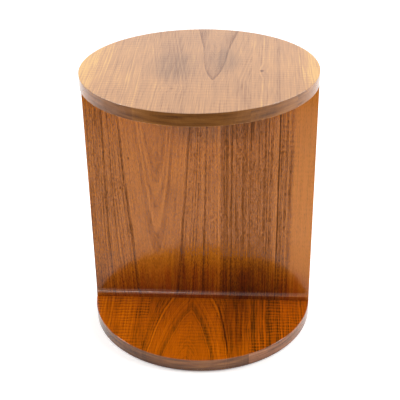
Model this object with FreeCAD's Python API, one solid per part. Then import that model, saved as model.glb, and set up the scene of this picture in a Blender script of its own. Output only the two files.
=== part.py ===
import FreeCAD, Part
import math
import os

# Drum side table in solid walnut: a round top and a round base of edge-glued boards, joined by one
# full-width upright that stands on the diameter. Loose tenons lock the upright into both discs, and
# four screwed nylon glides carry the base.
# Millimetres. The origin is on the floor under the middle of the table, +Z is up, and the front,
# where the open bay faces the room, looks towards -Y.

# Overall sizes
overall_height = 457.2
disc_diameter = 381.0
top_thickness = 20.5
base_thickness = 22.0
disc_edge_bevel = 0.5

# Upright and the coved foot that it is worked with, alike on its front and rear faces
upright_thickness = 20.5
upright_edge_round = 1.0
foot_lip_height = 7.0
foot_projection = 3.0
foot_cove_radius = 11.0
foot_nose_radius = 0.8

# Boards from left to right, and the glue lines between them, across the table from its middle, as
# shares of the disc diameter
top_board_places = ("left", "mid_left", "mid_right", "right")
top_glue_line_shares = (-0.226, 0.220, 0.399)
base_board_places = ("left", "middle", "right")
base_glue_line_shares = (-0.241, 0.226)
upright_board_places = ("left", "middle", "right")
upright_glue_line_shares = (0.039, 0.335)

# Loose tenons, one row at the head of the upright and one at its foot
tenon_count = 5
tenon_width = 22.0
tenon_thickness = 8.0
tenon_depth_in_disc = 12.0
tenon_depth_in_upright = 28.0
tenon_end_chamfer = 1.0
tenon_edge_margin = 48.0
glue_gap = 0.1
mortise_end_gap = 0.5

# Nylon glides, let into seats in the underside of the base
glide_height = 3.0
glide_seat_depth = 1.5
glide_seat_clearance = 0.2
glide_diameter = 24.0
glide_edge_round = 1.2
glide_edge_margin = 24.0
glide_places = ("rear_right", "rear_left", "front_left", "front_right")

# Countersunk screws that hold the glides, sunk a little into them
screw_length = 14.0
screw_shank_diameter = 3.0
screw_head_diameter = 6.0
screw_head_height = 1.6
screw_point_length = 4.0
screw_sink = 0.6
screw_cross_width = 0.8
screw_cross_span = 3.4
screw_cross_depth = 0.8
screw_clearance = 0.05

# How far a cutting tool runs past the stock, and how close two heights are to be one height
overrun = 10.0
same_height = 0.001

full_turn = 360
mm3_per_cm3 = 1000

# Places that follow from the sizes above
disc_radius = disc_diameter / 2
base_floor = glide_height - glide_seat_depth
shelf_height = base_floor + base_thickness
top_floor = overall_height - top_thickness
upright_half = upright_thickness / 2
lip_half = upright_half + foot_projection
drum_reach = disc_radius + overrun

up = FreeCAD.Vector(0, 0, 1)
across = FreeCAD.Vector(1, 0, 0)


def point(x, y, z):
    return FreeCAD.Vector(x, y, z)


def line(start, end):
    return Part.LineSegment(start, end).toShape()


def arc(start, middle, end):
    return Part.Arc(start, middle, end).toShape()


def round_disc(floor, thickness):
    """A glued-up disc, turned round, with a small bevel along both edges of its rim."""
    disc = Part.makeCylinder(disc_radius, thickness, point(0, 0, floor), up)
    rims = [edge for edge in disc.Edges if edge.Curve.TypeId == "Part::GeomCircle"]
    return disc.makeChamfer(disc_edge_bevel, rims)


def split_boards(kind, stock, places, glue_line_shares, cuts):
    """The stock sawn at its glue lines, which run front to back, into boards from left to right, by name,
    each with the mortises and holes that reach it."""
    lines = [-drum_reach] + [share * disc_diameter for share in glue_line_shares] + [drum_reach]
    height = overall_height + 2 * overrun
    boards = {}
    for place, start, end in zip(places, lines, lines[1:]):
        slab = Part.makeBox(end - start, 2 * drum_reach, height, point(start, -drum_reach, -overrun))
        board = stock.common(slab)
        for cut in cuts:
            if board.BoundBox.intersect(cut.BoundBox):
                board = board.cut(cut)
        boards[f"{kind}_board_{place}"] = board
    return boards


def upright_face(side):
    """One face of the upright in section, from its head down to the shelf: the flat, a hollow cove that
    swings outwards, a small rounded nose and a plumb lip. side is -1 for the front and 1 for the rear."""
    swing = math.acos(1 - foot_projection / (foot_cove_radius + foot_nose_radius))
    lip_top = shelf_height + foot_lip_height
    cove_end = lip_top + foot_nose_radius * math.sin(swing)
    cove_top = cove_end + foot_cove_radius * math.sin(swing)

    def on_cove(angle):
        out = upright_half + foot_cove_radius * (1 - math.cos(angle))
        return point(0, side * out, cove_top - foot_cove_radius * math.sin(angle))

    def on_nose(angle):
        out = lip_half - foot_nose_radius * (1 - math.cos(angle))
        return point(0, side * out, lip_top + foot_nose_radius * math.sin(angle))

    return [
        line(point(0, side * upright_half, top_floor), on_cove(0)),
        arc(on_cove(0), on_cove(swing / 2), on_cove(swing)),
        arc(on_nose(swing), on_nose(swing / 2), on_nose(0)),
        line(on_nose(0), point(0, side * lip_half, shelf_height)),
    ]


def rises(edge):
    """True for an edge whose two ends are at different heights."""
    return abs(edge.Vertexes[0].Z - edge.Vertexes[-1].Z) > same_height


def upright_stock():
    """The glued-up upright, worked to its section, trimmed flush with the discs and its corners eased."""
    head = line(point(0, -upright_half, top_floor), point(0, upright_half, top_floor))
    foot = line(point(0, -lip_half, shelf_height), point(0, lip_half, shelf_height))
    edges = upright_face(-1) + upright_face(1) + [head, foot]
    section = Part.Face(Part.Wire(Part.__sortEdges__(edges)))
    section.translate(across * -drum_reach)
    blank = section.extrude(across * (2 * drum_reach))
    drum = Part.makeCylinder(disc_radius, overall_height, point(0, 0, 0), up)
    trimmed = blank.common(drum)
    ends = [face for face in trimmed.Faces if abs(face.CenterOfMass.x) > disc_radius - lip_half]
    corners = [edge for face in ends for edge in face.Edges if rises(edge)]
    return trimmed.makeFillet(upright_edge_round, corners)


def tenon_places():
    """The tenons' middles, evenly spaced between the two ends of the upright."""
    outermost = disc_radius - tenon_edge_margin - tenon_width / 2
    spacing = 2 * outermost / (tenon_count - 1)
    return [number * spacing - outermost for number in range(tenon_count)]


def slot_bar(x, width, thickness, floor, ceiling):
    """A plumb bar with rounded ends in plan, the form of a loose tenon and of its mortise."""
    half_flat = (width - thickness) / 2
    half = thickness / 2
    front_left = point(x - half_flat, -half, floor)
    front_right = point(x + half_flat, -half, floor)
    rear_right = point(x + half_flat, half, floor)
    rear_left = point(x - half_flat, half, floor)
    plan = Part.Wire([
        line(front_left, front_right),
        arc(front_right, point(x + width / 2, 0, floor), rear_right),
        line(rear_right, rear_left),
        arc(rear_left, point(x - width / 2, 0, floor), front_left),
    ])
    return Part.Face(plan).extrude(up * (ceiling - floor))


def loose_tenon(x, floor, ceiling):
    """A loose tenon with both its ends chamfered all round."""
    bar = slot_bar(x, tenon_width, tenon_thickness, floor, ceiling)
    ends = [edge for edge in bar.Edges if not rises(edge)]
    return bar.makeChamfer(tenon_end_chamfer, ends)


def mortise(x, floor, ceiling):
    """The slot for a loose tenon, with a glue film round it and a little room past its ends."""
    width = tenon_width + 2 * glue_gap
    thickness = tenon_thickness + 2 * glue_gap
    return slot_bar(x, width, thickness, floor - mortise_end_gap, ceiling + mortise_end_gap)


def glide_centres():
    """The glides' middles on the floor, evenly round the base, the first of them half a step from +X."""
    radius = disc_radius - glide_edge_margin - glide_diameter / 2
    half_step = math.pi / len(glide_places)
    centres = {}
    for number, place in enumerate(glide_places):
        angle = (2 * number + 1) * half_step
        centres[place] = point(radius * math.cos(angle), radius * math.sin(angle), 0)
    return centres


def turned(outline, centre):
    """A solid of revolution about the plumb line through centre, from (radius, height) points."""
    corners = [centre + point(radius, 0, height) for radius, height in outline]
    return Part.Face(Part.makePolygon(corners + corners[:1])).revolve(centre, up, full_turn)


def screw_body(centre, clearance):
    """A countersunk screw standing on its head, or with a clearance the hole that takes it."""
    head = screw_head_diameter / 2 + clearance
    shank = screw_shank_diameter / 2 + clearance
    neck = screw_sink + screw_head_height
    tip = screw_sink + screw_length + clearance
    point_base = tip - screw_point_length
    outline = [(0, screw_sink), (head, screw_sink), (shank, neck), (shank, point_base), (0, tip)]
    return turned(outline, centre)


def glide_seat(centre):
    """The shallow round seat that a glide is let into, with a little room round it."""
    return Part.makeCylinder(glide_diameter / 2 + glide_seat_clearance, glide_height, centre, up)


def glide(centre):
    """A nylon pad with its floor edge rounded, drilled and countersunk for its screw."""
    pad = Part.makeCylinder(glide_diameter / 2, glide_height, centre, up)
    floor_edge = [edge for edge in pad.Edges if edge.BoundBox.ZMax < glide_height / 2]
    pad = pad.makeFillet(glide_edge_round, floor_edge)
    sink = Part.makeCylinder(screw_head_diameter / 2 + screw_clearance, screw_sink, centre, up)
    return pad.cut(sink).cut(screw_body(centre, screw_clearance))


def glide_screw(centre):
    """A screw with a cross recess cut into the flat of its head."""
    screw = screw_body(centre, 0)
    for length, width in ((screw_cross_span, screw_cross_width), (screw_cross_width, screw_cross_span)):
        corner = centre + point(-length / 2, -width / 2, screw_sink)
        screw = screw.cut(Part.makeBox(length, width, screw_cross_depth, corner))
    return screw


def build():
    head_span = (top_floor - tenon_depth_in_upright, top_floor + tenon_depth_in_disc)
    foot_span = (shelf_height - tenon_depth_in_disc, shelf_height + tenon_depth_in_upright)
    head_mortises = [mortise(x, *head_span) for x in tenon_places()]
    foot_mortises = [mortise(x, *foot_span) for x in tenon_places()]
    centres = glide_centres()
    glide_cuts = [glide_seat(centre) for centre in centres.values()]
    glide_cuts += [screw_body(centre, screw_clearance) for centre in centres.values()]

    top = round_disc(top_floor, top_thickness)
    base = round_disc(base_floor, base_thickness)
    upright = upright_stock()
    panels = (
        ("top", top, top_board_places, top_glue_line_shares, head_mortises),
        ("base", base, base_board_places, base_glue_line_shares, foot_mortises + glide_cuts),
        ("upright", upright, upright_board_places, upright_glue_line_shares, head_mortises + foot_mortises),
    )
    parts = {}
    for panel in panels:
        parts.update(split_boards(*panel))
    for number, x in enumerate(tenon_places(), start=1):
        parts[f"top_tenon_{number}"] = loose_tenon(x, *head_span)
        parts[f"base_tenon_{number}"] = loose_tenon(x, *foot_span)
    for place, centre in centres.items():
        parts[f"glide_{place}"] = glide(centre)
    parts["glide_screws"] = Part.makeCompound([glide_screw(centre) for centre in centres.values()])
    return parts


def main():
    os.makedirs("parts", exist_ok=True)
    for name, shape in build().items():
        shape.exportStep(f"parts/{name}.step")
        volume = shape.Volume / mm3_per_cm3
        print(f"{name}: {len(shape.Solids)} solid(s), valid {shape.isValid()}, {volume:.1f} cm3")


main()
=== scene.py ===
import math
import bpy
from mathutils import Matrix, Vector

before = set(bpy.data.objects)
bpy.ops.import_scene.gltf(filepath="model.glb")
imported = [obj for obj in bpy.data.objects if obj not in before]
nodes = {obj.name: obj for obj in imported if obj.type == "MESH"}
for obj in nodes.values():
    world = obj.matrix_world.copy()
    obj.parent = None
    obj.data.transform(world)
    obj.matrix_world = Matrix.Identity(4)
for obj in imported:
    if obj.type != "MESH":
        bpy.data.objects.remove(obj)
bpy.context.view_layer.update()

scene = bpy.context.scene
scene.view_settings.view_transform = "Standard"
mm = 0.001   # one millimetre in metres
print("frame loaded, nodes:", len(nodes))


def linear(hexColour):
    # sRGB hex to linear RGBA
    parts = [int(hexColour[i:i + 2], 16) / 255 for i in (1, 3, 5)]
    return [p / 12.92 if p <= 0.04045 else ((p + 0.055) / 1.055) ** 2.4 for p in parts] + [1.0]


def addNode(tree, kind, inputs=None, output=0, stops=None, **settings):
    # Adds one node: settings are its own, inputs are constants or sockets to link, by socket name or number,
    # and stops fill a colour ramp
    node = tree.nodes.new("ShaderNode" + kind)
    for key, value in settings.items():
        setattr(node, key, value)
    for key, value in (inputs or {}).items():
        if isinstance(value, bpy.types.NodeSocket):
            tree.links.new(value, node.inputs[key])
        else:
            node.inputs[key].default_value = value
    if stops:
        places = node.color_ramp.elements
        while len(places) < len(stops):
            places.new(1.0)
        for place, (spot, colour) in zip(places, stops):
            place.position, place.color = spot, colour
    return node.outputs[output] if node.outputs else node


def newTree(name):
    material = bpy.data.materials.new(name)
    material.use_nodes = True
    material.node_tree.nodes.clear()
    return material, material.node_tree


def palette(colours):
    # evenly spaced ramp stops, dark to light
    return [(i / (len(colours) - 1), linear(colour)) for i, colour in enumerate(colours)]


def dress(names, material):
    for name in names:
        slots = nodes[name].data.materials
        slots.clear()
        slots.append(material)


# Black walnut, planed, sanded and lacquered to a satin gloss. The eye gets growth rings cut into arches and
# stripes, open pores drawn out along the grain, bars of curl across it, and dark end grain.
# Each board is cut from its own log: rings go round its pith line and narrow up the log like a cone, and
# ringTones gives light and dark by ring radius in mm. Pores are 0.2 mm wide on the real wood and are drawn
# about 1 mm wide, so that they show.
walnut = dict(ior=1.46, relief=0.1,                     # lacquer film, and depth of the open grain in mm
              seedShift=17.3, layerShift=5.1,           # keep the noise of boards and of patterns apart
              waveStep=0.314,                           # bar spacing of a wave texture at scale 1
              cells=dict(drift=(60, 200, 1.0), waver=(13, 40, 1.0), fibre=(2.6, 70, 2.0),
                         cloud=(45, 120, 1.0), curl=(30, 60, 0.0),
                         streak=(4, 140, 1.0)),         # mm across the grain, mm along it, detail
              poreWidth=1.3, endSweep=60,               # mm
              curlShown=(0.38, 0.6, 0.3), streaksShown=(0.36, 0.62, 0.45),   # from, in full, least share
              poresShown=(0.55, 0.75), calmShare=0.7,   # calmShare is what is left where a board is calm
              endShare=(0.25, 0.43),                    # share of the face's tone at the ends, middle tone
              filmTone=(0.15, 0.45),                    # tones where the film is broken and where it is whole
              tintSoft=0.3, rubSoft=0.7)
patternOrder = ("drift", "waver", "fibre", "dash", "cloud", "pore", "curl", "streak")


def walnutBoard(name, board):
    material, tree = newTree(name)
    pitch, yaw = [math.radians(angle) for angle in board["lean"]]
    turn = (pitch - math.pi / 2, 0, yaw) if board["grain"] == "back" else (pitch, yaw, 0)
    spot = addNode(tree, "TexCoord", output="Object")
    log = addNode(tree, "Mapping", {"Vector": spot, "Location": [c * mm for c in board["pith"]],
                                    "Rotation": turn, "Scale": (mm, mm, mm)},
                  vector_type="TEXTURE")   # mm, Z along the grain
    cells = dict(walnut["cells"], dash=(board["dashWidth"], board["dashLength"], 1.0),
                 pore=(walnut["poreWidth"], board["poreLength"], 0.0))

    def grainCells(kind, output=0):
        # cloudy cells, longer along the grain than across it
        across, along, detail = cells[kind]
        shift = board["seed"] * walnut["seedShift"] + patternOrder.index(kind) * walnut["layerShift"]
        place = addNode(tree, "Mapping", {"Vector": log, "Location": (shift, -shift, shift),
                                          "Scale": (1 / across, 1 / across, 1 / along)})
        return addNode(tree, "TexNoise", {"Vector": place, "Scale": 1.0, "Detail": detail, "Roughness": 0.6},
                       output=output)

    def nearness(place, size, soft=0.0, turned=0.0):
        # 1 in the middle of an egg-shaped patch, 0 outside it; turned is its angle in plan
        egg = addNode(tree, "Mapping", {"Vector": spot, "Location": [c * mm for c in place],
                                        "Rotation": (0, 0, math.radians(turned)),
                                        "Scale": [c * mm for c in size]}, vector_type="TEXTURE")
        away = addNode(tree, "VectorMath", {0: egg}, output="Value", operation="LENGTH")
        return addNode(tree, "MapRange", {0: away, 1: soft, 2: 1.0, 3: 1.0, 4: 0.0},
                       interpolation_type="SMOOTHERSTEP")

    # curl: bars about a centimetre apart across the grain, in patches
    bars = addNode(tree, "TexWave", {"Vector": log, "Scale": walnut["waveStep"] / board["curlStep"],
                                     "Distortion": 3.0, "Detail": 1.0, "Detail Scale": 1.5},
                   output=1, bands_direction="Z")
    bars = addNode(tree, "Math", {0: bars, 1: 0.5}, operation="SUBTRACT")
    start, full, least = walnut["curlShown"]
    patch = addNode(tree, "MapRange", {0: grainCells("curl"), 1: start, 2: full, 3: least, 4: 1.0})
    bars = addNode(tree, "Math", {0: bars, 1: patch}, operation="MULTIPLY")

    # rings about the pith that wander along the log, narrow up it, ripple with the curl and swerve at knots
    bent = log
    for kind, reach in (("drift", board["wander"]), ("waver", board["waver"])):
        sway = addNode(tree, "VectorMath", {0: grainCells(kind, output=1), 1: (0.5, 0.5, 0.5)},
                       operation="SUBTRACT")
        bent = addNode(tree, "VectorMath", {0: sway, 1: (reach, reach, 0), 2: bent}, operation="MULTIPLY_ADD")
    flat = addNode(tree, "VectorMath", {0: bent, 1: (1, 1, 0)}, operation="MULTIPLY")
    radius = addNode(tree, "VectorMath", {0: flat}, output="Value", operation="LENGTH")
    height = addNode(tree, "SeparateXYZ", {0: log}, output=2)
    height = addNode(tree, "Math", {0: height, 1: board["coneFrom"]}, operation="MAXIMUM")
    (taper, farTaper), (taperFrom, taperTo) = board["taper"], board["taperFade"]
    narrowing = addNode(tree, "MapRange", {0: radius, 1: taperFrom, 2: taperTo, 3: -taper, 4: -farTaper})
    radius = addNode(tree, "Math", {0: height, 1: narrowing, 2: radius}, operation="MULTIPLY_ADD")
    radius = addNode(tree, "Math", {0: bars, 1: board["ripple"], 2: radius}, operation="MULTIPLY_ADD")
    for swirl in board["swirls"]:
        near = nearness(swirl["place"], swirl["size"])
        radius = addNode(tree, "Math", {0: near, 1: swirl["push"], 2: radius}, operation="MULTIPLY_ADD")

    tones = board["ringTones"]
    inner, outer = tones[0][0], tones[-1][0]
    share = addNode(tree, "MapRange", {0: radius, 1: inner, 2: outer})
    tone = addNode(tree, "ValToRGB", {0: share},
                   stops=[((r - inner) / (outer - inner), (t, t, t, 1)) for r, t in tones])

    # finer patterns, each a swing about its middle, calmer where the face is cut flat to the rings
    calmFrom, calmTo = board["calm"]
    liveliness = addNode(tree, "MapRange", {0: radius, 1: calmFrom, 2: calmTo,
                                            3: walnut["calmShare"], 4: 1.0})
    fineRings = addNode(tree, "TexNoise", {"W": radius, "Scale": 1 / board["ringWidth"], "Detail": 2.0,
                                           "Roughness": 0.6}, noise_dimensions="1D")
    patterns = [(fineRings, board["fineRings"]), (grainCells("fibre"), board["fibre"]),
                (grainCells("dash"), board["dashes"])]
    start, full = walnut["poresShown"]
    lines = addNode(tree, "MapRange", {0: grainCells("pore"), 1: start, 2: full, 3: 0.0, 4: -board["pores"]})
    for pattern, amount in patterns:
        swing = addNode(tree, "Math", {0: pattern, 1: 0.5}, operation="SUBTRACT")
        lines = addNode(tree, "Math", {0: swing, 1: amount, 2: lines}, operation="MULTIPLY_ADD")
    tone = addNode(tree, "Math", {0: lines, 1: liveliness, 2: tone}, operation="MULTIPLY_ADD")
    tone = addNode(tree, "Math", {0: bars, 1: board["curl"], 2: tone}, operation="MULTIPLY_ADD")
    cloud = addNode(tree, "Math", {0: grainCells("cloud"), 1: 0.5}, operation="SUBTRACT")
    tone = addNode(tree, "Math", {0: cloud, 1: board["clouds"], 2: tone}, operation="MULTIPLY_ADD")
    # painted light: tone raised over patches, here along the lip of the foot
    for light in board["paintedLight"]:
        near = nearness(light["place"], light["size"])
        tone = addNode(tree, "Math", {0: near, 1: light["rise"], 2: tone}, operation="MULTIPLY_ADD")
    for swirl in board["swirls"]:
        near = nearness(swirl["place"], swirl["heart"])
        tone = addNode(tree, "Math", {0: near, 1: -swirl["dark"], 2: tone}, operation="MULTIPLY_ADD")

    # colour by tone, for the face and for the thirsty end grain
    colour = addNode(tree, "ValToRGB", {0: tone}, stops=palette(board["face"]))
    # patches of tint: real dark figure in the wood, painted shade low on the upright and under the top, and
    # greyer patches on the top
    for stainOrShade in board["stainsAndShade"]:
        start, full, least = walnut["streaksShown"]
        streaks = addNode(tree, "MapRange", {0: grainCells("streak"), 1: start, 2: full, 3: least, 4: 1.0})
        patch = nearness(stainOrShade["place"], stainOrShade["size"], walnut["tintSoft"], stainOrShade.get("turned", 0))
        tintShare = addNode(tree, "Math", {0: patch, 1: streaks}, operation="MULTIPLY")
        colour = addNode(tree, "Mix", {0: tintShare, 6: colour, 7: linear(stainOrShade["tint"])}, output=2,
                         data_type="RGBA", blend_type="MULTIPLY")
    normal = addNode(tree, "TexCoord", output="Normal")
    upward = addNode(tree, "SeparateXYZ", {0: normal}, output=2)
    upward = addNode(tree, "Math", {0: upward}, operation="ABSOLUTE")
    endGrain = addNode(tree, "MapRange", {0: upward, 1: board["endFrom"][0], 2: board["endFrom"][1]})
    layerSize = (walnut["endSweep"], walnut["endSweep"], board["endLayer"])
    layers = addNode(tree, "Mapping", {"Vector": spot, "Rotation": (0, math.radians(board["endSlant"]), 0),
                                       "Scale": [1 / (c * mm) for c in layerSize]})
    layers = addNode(tree, "TexNoise", {"Vector": layers, "Scale": 1.0, "Detail": 2.0, "Roughness": 0.6})
    layers = addNode(tree, "Math", {0: layers, 1: 0.5}, operation="SUBTRACT")
    endShare, endMiddle = walnut["endShare"]
    endTone = addNode(tree, "Math", {0: tone, 1: endShare, 2: endMiddle}, operation="MULTIPLY_ADD")
    endTone = addNode(tree, "Math", {0: layers, 1: board["endLines"], 2: endTone}, operation="MULTIPLY_ADD")
    endColour = addNode(tree, "ValToRGB", {0: endTone}, stops=palette(board["end"]))
    colour = addNode(tree, "Mix", {0: endGrain, 6: colour, 7: endColour}, output=2, data_type="RGBA")

    # light wood lies smooth under the lacquer, dark pores break its film
    smooth, dull = board["gloss"]
    broken, whole = walnut["filmTone"]
    gloss = addNode(tree, "MapRange", {0: tone, 1: broken, 2: whole, 3: dull, 4: smooth})
    for rubbed in board["rubbed"]:
        near = nearness(rubbed["place"], rubbed["size"], walnut["rubSoft"])
        gloss = addNode(tree, "Mix", {0: near, 2: gloss, 3: smooth})
    relief = addNode(tree, "Bump", {"Height": tone, "Strength": 0.1, "Distance": walnut["relief"] * mm})
    wood = addNode(tree, "BsdfPrincipled", {"Base Color": colour, "Roughness": gloss, "IOR": walnut["ior"],
                                            "Normal": relief}, distribution="GGX")
    addNode(tree, "OutputMaterial", {"Surface": wood})
    return material


# What the boards share. Places and sizes are in mm, lean in degrees, and colours run from dark to light.
common = dict(taper=(0, 0), taperFade=(200, 300), coneFrom=-500, calm=(-2, -1), curl=0.0, curlStep=9,
              ripple=0.0, swirls=[], paintedLight=[], stainsAndShade=[], rubbed=[], wander=5, waver=1.2, dashWidth=1.7,
              endLines=1.4, endLayer=5, endSlant=0)
topCommon = dict(common, grain="back", endFrom=(0.8, 0.2), gloss=(0.16, 0.3), ringWidth=3.2, fineRings=0.6,
                 fibre=0.5, dashes=0.4, dashLength=45, pores=0.15, poreLength=40, clouds=0.3,
                 face=("#744a31", "#936645", "#ad7f59", "#c08d5f", "#d8a864"),
                 end=("#46240a", "#6c3f14", "#8a531c", "#a16628", "#b67936"))
footPaintedShade = dict(place=(0, 0, 45), size=(260, 60, 75), tint="#e0bb62")      # painted shade: darker, warmer colour low on the upright, where the base keeps light off
headPaintedShade = dict(place=(20, 0, 385), size=(160, 60, 80), tint="#bcbebc")    # painted shade: darker, greyer colour on the upright under the overhang of the top
lipPaintedLight = dict(place=(0, -13, 27), size=(2000, 40, 6), rise=0.45)          # painted light: paler tone along the lip of the foot
footRub = dict(place=(0, 0, 20), size=(900, 120, 116))                      # foot rubbed smoother
uprightCommon = dict(common, grain="up", stainsAndShade=[footPaintedShade, headPaintedShade], rubbed=[footRub], paintedLight=[lipPaintedLight],
                     endFrom=(0.7, 0.95), gloss=(0.15, 0.95), waver=0.6, ringWidth=2.2, fineRings=1.0,
                     fibre=0.7, dashes=1.2, dashWidth=1.0, dashLength=5, pores=0.2, poreLength=5, clouds=0.2,
                     face=("#623400", "#8c4c00", "#af6200", "#c5730e", "#d37e1e"),
                     end=("#3a1c04", "#5a3008", "#70400e", "#82501a", "#946026"))
baseCommon = dict(common, grain="back", endFrom=(0.8, 0.2), gloss=(0.13, 0.16), ringWidth=3.4, fineRings=1.0,
                  fibre=0.8, dashes=0.5, dashLength=26, pores=0.15, poreLength=24, clouds=0.3,
                  curl=0.4, curlStep=8.5, ripple=0.6, wander=7, waver=3, endLines=1.9,
                  face=("#512900", "#864300", "#a65000", "#b95c00", "#c86a00"),
                  end=("#361a08", "#502c0f", "#633917", "#734721", "#85552a"))

topBoards = {
    "top_board_left": dict(
        topCommon, seed=1, pith=(-330, 0, 330), lean=(0.6, 1.5), curl=0.16,
        end=("#3c1c06", "#5e320a", "#7a4610", "#8f561e", "#a4692c"),
        ringTones=[(150, 1.0), (196, 1.0), (205, .93), (212, .8), (222, .72), (230, .75), (232, .55),
                   (238, .7), (262, .65), (280, .68)]),
    "top_board_mid_left": dict(
        topCommon, seed=2, pith=(24, -54, 457.7), lean=(0, 0), taper=(0.347, 0.135), taperFade=(8, 20.5),
        coneFrom=-12, calm=(-60, -50), curl=0.12, curlStep=11, wander=2.4,
        swirls=[dict(place=(-35, -96, 457), size=(26, 30, 26), push=9, heart=(6, 6, 6), dark=.2)],
        # greyer, darker patches in the middle of the top
        stainsAndShade=[dict(place=(-10, 40, 457), size=(100, 190, 60), tint="#f4f4fa"),
                dict(place=(-38, 2, 457), size=(56, 95, 60), tint="#e6e8ed"),
                dict(place=(40, 30, 457), size=(34, 80, 60), tint="#e4e6ec")],
        ringTones=[(-75, .66), (-50, .62), (-26, .54), (-24, .46), (-22.5, .54), (-6, .46), (0.2, .44),
                   (0.9, .0), (1.8, .0), (2.4, .58), (6, .64), (13, .66), (14, .5), (15, .66), (24, .64),
                   (25, .5), (26, .64), (36, .62), (42, .54), (46, .62), (51, .5), (54, .6), (60, .5),
                   (64, .6), (69, .5), (73, .6), (86, .64), (130, .64)]),
    "top_board_mid_right": dict(
        topCommon, seed=3, endSlant=-14, pith=(320, 0, 380), lean=(0.5, -1.0), curl=0.12,
        swirls=[dict(place=(99, -18, 457), size=(18, 40, 20), push=-5, heart=(5, 7, 5), dark=.9)],
        ringTones=[(160, .62), (176, .68), (184, .54), (188, .7), (204, .68), (210, .46), (214, .66),
                   (236, .64), (260, .66)]),
    "top_board_right": dict(
        topCommon, seed=4, endSlant=-20, pith=(-60, 0, 330), lean=(0, 0.5), curl=0.16,
        ringTones=[(235, .4), (246, .4), (248, .66), (256, .66), (262, .8), (268, .95), (280, .95)]),
}
uprightBoards = {
    "upright_board_left": dict(
        uprightCommon, seed=5, dashes=1.4, waver=0.8, clouds=0.35, pith=(-77, 22.75, 190), lean=(0, 0.7),
        taper=(0.06, 0), taperFade=(66, 100), calm=(42, 62), wander=4,
        swirls=[dict(place=(-120, -10.25, 299), size=(7, 7, 14), push=1.5, heart=(2.2, 4, 3.4), dark=1.0)],
        stainsAndShade=[footPaintedShade, headPaintedShade,
                dict(place=(-38, -10.25, 75), size=(16, 40, 90), tint="#c0b0a0")],
        ringTones=[(8, .54), (26.6, .52), (31.1, .55), (32.2, .72), (33.4, .75), (34, .36), (35.2, .47),
                   (37.4, .6), (41, .64), (46, .54), (47, .62), (52, .66), (55.4, .6), (56.2, .24),
                   (57.4, .3), (59, .44), (63, .5), (68, .58), (69, .42), (71, .56), (77, .5), (78, .36),
                   (79.5, .5), (84, .56), (88.4, .54), (89.2, .2), (90.4, .26), (91.6, .42), (94, .46),
                   (97, .54), (102, .42), (105, .5)]),
    "upright_board_middle": dict(
        uprightCommon, seed=6, pith=(-235, 40, 200), lean=(0.4, 0.3), wander=3,
        stainsAndShade=[footPaintedShade, headPaintedShade,
                # painted shade: darker low on the right of this board, carrying on the shade of the foot
                dict(place=(100, -10.25, 50), size=(70, 40, 70), tint="#ccc0b0")],
        ringTones=[(252, .5), (262, .55), (270, .66), (272, .74), (274, .4), (280, .28), (285, .3),
                   (287, .52), (290, .24), (296, .46), (299, .26), (303, .46), (310, .26), (318, .4),
                   (324, .28), (330, .46), (340, .46), (345, .32), (350, .46), (356, .38), (360, .48),
                   (363, .7), (366, .7)]),
    "upright_board_right": dict(
        uprightCommon, seed=7, pith=(-235, 40, 200), lean=(0.2, 0.2), wander=3, curl=0.12, calm=(395, 385),
        stainsAndShade=[footPaintedShade, headPaintedShade,
                # painted shade: darker, warmer low on the sapwood edge, carrying on the shade of the foot
                dict(place=(165, -10.25, 36), size=(45, 40, 62), tint="#e8cf98")],
        ringTones=[(360, .5), (364, .62), (367.4, .55), (368.4, .06), (369.6, .12), (371, .36), (379, .42),
                   (382, .44), (384, .62), (386, .44), (388.5, .3), (390, .55), (394, .8), (405, .88),
                   (415, .92), (430, .92)]),
}
baseBoards = {
    "base_board_left": dict(
        baseCommon, seed=8, endSlant=-4, pith=(-360, 0, -120), lean=(0.5, 2.0), curl=0.45,
        end=("#3e210d", "#583316", "#6c401e", "#7c4e28", "#8e5c30"),
        ringTones=[(220, .58), (250, .62), (256, .4), (262, .6), (282, .62), (288, .34), (294, .54),
                   (310, .54)]),
    "base_board_middle": dict(
        baseCommon, seed=9, endSlant=-10, pith=(-17, -51, 20.5), lean=(0, 0), taper=(-0.42, 0),
        taperFade=(14, 95), curl=0.2, wander=8, waver=4,
        end=("#381b08", "#532e10", "#673b18", "#784a22", "#8a582c"),
        swirls=[dict(place=(82, -105, 23.5), size=(24, 40, 24), push=5, heart=(8, 18, 8), dark=.2)],
        stainsAndShade=[dict(place=(62, -70, 23.5), size=(34, 130, 60), tint="#b0a490"),
                dict(place=(40.5, -97, 23.5), size=(3.2, 110, 40), turned=8.9, tint="#6e5a4c")],
        ringTones=[(-36, .5), (-20, .54), (-8, .48), (0.4, .46), (2.4, .34), (4.4, .16), (9, .32), (14, .48),
                   (19, .52), (25, .6), (31, .5), (36, .58), (40, .5), (43, .48), (44.4, .7), (46.6, .7),
                   (48.5, .42), (52, .34), (57, .46), (63, .3), (70, .5), (80, .32), (88, .48), (100, .48)]),
    "base_board_right": dict(
        baseCommon, seed=10, endSlant=-24, pith=(-120, 0, -60), lean=(0.5, 0.6), curl=0.33,
        face=("#512800", "#864100", "#a64d00", "#b95800", "#c86500"),
        end=("#543120", "#73472c", "#8a5836", "#a06743", "#b37b53"),
        ringTones=[(215, .3), (224, .44), (230, .2), (236, .42), (248, .44), (254, .2), (260, .46),
                   (266, .24), (274, .46), (300, .48), (320, .48)]),
}
for boards in (topBoards, uprightBoards, baseBoards):
    for name, board in boards.items():
        dress([name], walnutBoard("lacquered_walnut_" + name, board))
print("walnut boards dressed:", len(topBoards) + len(uprightBoards) + len(baseBoards))

# Beech of the loose tenons, planed and left bare: pale straight grain with short brown ray flecks. The flecks
# are 0.3 mm wide on the real wood and are drawn at 0.7 mm, so that they show.
beech = dict(wood=("#ad7f55", "#c79a6b", "#d6b085"), fleck="#8a5c36", grain=(1.4, 1.4, 60),
             flecks=(0.7, 2.0, 4.0), flecksShown=(0.6, 0.7), rough=0.6, ior=1.5, relief=0.1)   # mm


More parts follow.
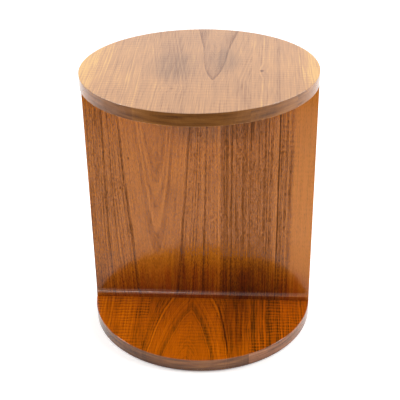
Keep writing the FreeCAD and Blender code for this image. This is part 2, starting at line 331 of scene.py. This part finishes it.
def bareBeech(look):
    material, tree = newTree("bare_beech")
    spot = addNode(tree, "TexCoord", output="Object")
    fibres = addNode(tree, "Mapping", {"Vector": spot, "Scale": [1 / (c * mm) for c in look["grain"]]})
    tone = addNode(tree, "TexNoise", {"Vector": fibres, "Scale": 1.0, "Detail": 2.0})
    colour = addNode(tree, "ValToRGB", {0: tone}, stops=palette(look["wood"]))
    rays = addNode(tree, "Mapping", {"Vector": spot, "Scale": [1 / (c * mm) for c in look["flecks"]]})
    rays = addNode(tree, "TexNoise", {"Vector": rays, "Scale": 1.0, "Detail": 0.0})
    rays = addNode(tree, "MapRange", {0: rays, 1: look["flecksShown"][0], 2: look["flecksShown"][1]})
    colour = addNode(tree, "Mix", {0: rays, 6: colour, 7: linear(look["fleck"])}, output=2, data_type="RGBA")
    relief = addNode(tree, "Bump", {"Height": tone, "Strength": 0.3, "Distance": look["relief"] * mm})
    wood = addNode(tree, "BsdfPrincipled", {"Base Color": colour, "Roughness": look["rough"],
                                            "IOR": look["ior"], "Normal": relief})
    addNode(tree, "OutputMaterial", {"Surface": wood})
    return material


tenons = [name for name in nodes if "tenon" in name]
dress(tenons, bareBeech(beech))
print("beech tenons dressed:", len(tenons))

# Nylon of the glides, moulded: near-black with a fine spark-eroded grain that breaks its sheen. The grain is
# 0.1 mm on the real glide and is drawn at 0.4 mm, so that it shows.
nylon = dict(colours=("#161617", "#1e1e20", "#29292b"), grain=0.4, rough=(0.38, 0.55), ior=1.53, relief=0.05)


def mouldedNylon(look):
    material, tree = newTree("moulded_nylon")
    spot = addNode(tree, "TexCoord", output="Object")
    skin = addNode(tree, "TexNoise", {"Vector": spot, "Scale": 1 / (look["grain"] * mm), "Detail": 1.0})
    colour = addNode(tree, "ValToRGB", {0: skin}, stops=palette(look["colours"]))
    sheen = addNode(tree, "MapRange", {0: skin, 1: 0.3, 2: 0.7, 3: look["rough"][0], 4: look["rough"][1]})
    relief = addNode(tree, "Bump", {"Height": skin, "Strength": 0.3, "Distance": look["relief"] * mm})
    plastic = addNode(tree, "BsdfPrincipled", {"Base Color": colour, "Roughness": sheen, "IOR": look["ior"],
                                               "Normal": relief})
    addNode(tree, "OutputMaterial", {"Surface": plastic})
    return material


glides = [name for name in nodes if name.startswith("glide_") and name != "glide_screws"]
dress(glides, mouldedNylon(nylon))
print("nylon glides dressed:", len(glides))

# Zinc-plated steel of the glide screws: bluish grey metal, mottled by the plating and softly bright.
zinc = dict(colours=("#8f959b", "#aab0b5", "#c3c7ca"), mottle=0.8, rough=(0.28, 0.42))


def zincSteel(look):
    material, tree = newTree("zinc_plated_steel")
    spot = addNode(tree, "TexCoord", output="Object")
    plate = addNode(tree, "TexNoise", {"Vector": spot, "Scale": 1 / (look["mottle"] * mm), "Detail": 3.0})
    colour = addNode(tree, "ValToRGB", {0: plate}, stops=palette(look["colours"]))
    sheen = addNode(tree, "MapRange", {0: plate, 1: 0.3, 2: 0.7, 3: look["rough"][0], 4: look["rough"][1]})
    metal = addNode(tree, "BsdfPrincipled", {"Base Color": colour, "Metallic": 1.0, "Roughness": sheen})
    addNode(tree, "OutputMaterial", {"Surface": metal})
    return material


dress(["glide_screws"], zincSteel(zinc))
print("zinc-plated screws dressed")

cameraLook = dict(place=(0.0899, -1.3564, 0.9521), lens=81.4, sensor=36.0,
                  yaw=-0.0676, pitch=0.4958, roll=-0.0155)   # metres, mm, radians


def addCamera(look):
    yaw, pitch, roll = look["yaw"], look["pitch"], look["roll"]
    ahead = Vector((math.sin(yaw) * math.cos(pitch), math.cos(yaw) * math.cos(pitch), -math.sin(pitch)))
    right = Vector((math.cos(yaw), -math.sin(yaw), 0))
    above = right.cross(ahead)
    rolledRight = right * math.cos(roll) + above * math.sin(roll)
    rolledAbove = above * math.cos(roll) - right * math.sin(roll)
    data = bpy.data.cameras.new("camera")
    data.lens, data.sensor_width = look["lens"], look["sensor"]
    camera = bpy.data.objects.new("camera", data)
    turn = Matrix((rolledRight, rolledAbove, -ahead)).transposed().to_4x4()
    camera.matrix_world = Matrix.Translation(look["place"]) @ turn
    scene.collection.objects.link(camera)
    scene.camera = camera


addCamera(cameraLook)
print("camera placed")

# A white paper floor in soft light from high at both sides and a little behind, with some light up off the
# floor in front. The camera's side of the room gives little light: dark felt lies on the floor there, out of
# the picture, and a low wide strip in front glints in the coved foot. Metres, degrees and watts.
studio = dict(floorReach=6.0, floorWhite="#f4f4f4", floorGlow=0.3, paperRough=0.9,
              feltDark="#707070", feltFrom=1.0, feltLift=0.002, feltSteps=12, feltSweep=(-90, 80),
              feltFade=(-80, -30, 15, 70),   # dark from the second angle to the third, paler towards the ends
              frontLight=0.05, frontFade=(-0.3, 0.1), aim=(0, 0, 0.25),
              lamps={"left_softbox": dict(place=(-2.2, 0.6, 2.4), size=(1.8, 1.8), watts=30),
                     "right_softbox": dict(place=(2.2, 0.6, 2.4), size=(1.8, 1.8), watts=45),
                     "left_strip": dict(place=(-2.4, -0.15, 1.9), size=(0.6, 1.4), watts=23.5),
                     "right_strip": dict(place=(2.4, -0.15, 1.9), size=(0.6, 1.4), watts=21.5),
                     "front_softbox": dict(place=(0, -1.2, 2.5), size=(1.6, 1.0), watts=4),
                     "floor_fill": dict(place=(0, -0.325, 0.004), size=(1.4, 0.25), watts=2.4,
                                        hide="glossy", up=True),
                     "glint_strip": dict(place=(-0.67, -2.6, 1.1), size=(0.9, 0.35), watts=9.5,
                                         hide="diffuse")})


def seenRays(tree):
    # 1 for the rays that show the background, to the camera or in a mirror or glass, and 0 for the rest
    path = tree.nodes.new("ShaderNodeLightPath").outputs
    seen = path["Is Camera Ray"]
    for ray in ("Is Glossy Ray", "Is Transmission Ray"):
        seen = addNode(tree, "Math", {0: seen, 1: path[ray]}, operation="MAXIMUM")
    return seen


def addSheet(name, corners, faces, material):
    mesh = bpy.data.meshes.new(name)
    mesh.from_pydata(corners, [], faces)
    sheet = bpy.data.objects.new(name, mesh)
    scene.collection.objects.link(sheet)
    mesh.materials.append(material)
    return sheet


def addFloor(look):
    # white paper, a little brighter to the eye than the lamps make it
    reach = look["floorReach"]
    material, tree = newTree("studio_paper")
    glow = addNode(tree, "Math", {0: seenRays(tree), 1: look["floorGlow"]}, operation="MULTIPLY")
    paper = addNode(tree, "BsdfPrincipled", {"Base Color": linear(look["floorWhite"]),
                                             "Roughness": look["paperRough"],
                                             "Emission Color": (1, 1, 1, 1), "Emission Strength": glow})
    addNode(tree, "OutputMaterial", {"Surface": paper})
    corners = [(-reach, -reach, 0), (reach, -reach, 0), (reach, reach, 0), (-reach, reach, 0)]
    addSheet("floor", corners, [(0, 1, 2, 3)], material)


def addFelt(look):
    # dark felt swept round the front of the floor, out of the picture, that the front rims mirror
    material, tree = newTree("studio_felt")
    spot = addNode(tree, "TexCoord", output="Object")
    across = addNode(tree, "SeparateXYZ", {0: spot}, output=0)
    ahead = addNode(tree, "SeparateXYZ", {0: spot}, output=1)
    ahead = addNode(tree, "Math", {0: ahead, 1: -1.0}, operation="MULTIPLY")
    angle = addNode(tree, "Math", {0: across, 1: ahead}, operation="ARCTAN2")
    leftEnd, leftIn, rightIn, rightEnd = [math.radians(degrees) for degrees in look["feltFade"]]
    leftPale = addNode(tree, "MapRange", {0: angle, 1: leftEnd, 2: leftIn, 3: 1.0, 4: 0.0},
                       interpolation_type="SMOOTHSTEP")
    rightPale = addNode(tree, "MapRange", {0: angle, 1: rightIn, 2: rightEnd},
                        interpolation_type="SMOOTHSTEP")
    pale = addNode(tree, "Math", {0: leftPale, 1: rightPale}, operation="MAXIMUM")
    colour = addNode(tree, "Mix", {0: pale, 6: linear(look["feltDark"]), 7: linear(look["floorWhite"])},
                     output=2, data_type="RGBA")
    felt = addNode(tree, "BsdfDiffuse", {"Color": colour})
    under = addNode(tree, "NewGeometry", output="Backfacing")   # clear from below: the floor there stays lit
    felt = addNode(tree, "MixShader", {0: under, 1: felt, 2: addNode(tree, "BsdfTransparent")})
    addNode(tree, "OutputMaterial", {"Surface": felt})

    start, end = [math.radians(degrees) for degrees in look["feltSweep"]]
    steps, edges = look["feltSteps"], (look["feltFrom"], look["floorReach"])
    turns = [start + (end - start) * step / steps for step in range(steps + 1)]
    corners = [(r * math.sin(a), -r * math.cos(a), look["feltLift"]) for a in turns for r in edges]
    sheet = addSheet("felt", corners, [(i, i + 1, i + 3, i + 2) for i in range(0, 2 * steps, 2)], material)
    sheet.visible_camera = False
    sheet.visible_shadow = False


def addLight(look):
    # a white room that sends little light from the camera's side, and the lamps
    world = bpy.data.worlds.new("studio")
    world.use_nodes = True
    tree = world.node_tree
    way = addNode(tree, "TexCoord", output="Generated")
    back = addNode(tree, "SeparateXYZ", {0: way}, output=1)
    dim, lit = look["frontFade"]
    strength = addNode(tree, "MapRange", {0: back, 1: dim, 2: lit, 3: look["frontLight"], 4: 1.0})
    strength = addNode(tree, "Math", {0: strength, 1: seenRays(tree)}, operation="MAXIMUM")
    sky = tree.nodes["Background"]
    sky.inputs["Color"].default_value = (1, 1, 1, 1)
    tree.links.new(strength, sky.inputs["Strength"])
    scene.world = world
    for name, lamp in look["lamps"].items():
        data = bpy.data.lights.new(name, "AREA")
        data.shape = "RECTANGLE"
        data.size, data.size_y = lamp["size"]
        data.energy = lamp["watts"]
        light = bpy.data.objects.new(name, data)
        light.location = lamp["place"]
        target = Vector((*lamp["place"][:2], 1)) if lamp.get("up") else Vector(look["aim"])
        light.rotation_euler = (target - Vector(lamp["place"])).to_track_quat("-Z", "Y").to_euler()
        light.visible_camera = False
        light.visible_glossy = lamp.get("hide") != "glossy"
        light.visible_diffuse = lamp.get("hide") != "diffuse"
        scene.collection.objects.link(light)


addFloor(studio)
addFelt(studio)
addLight(studio)
print("floor, felt and lamps placed:", len(studio["lamps"]), "lamps")
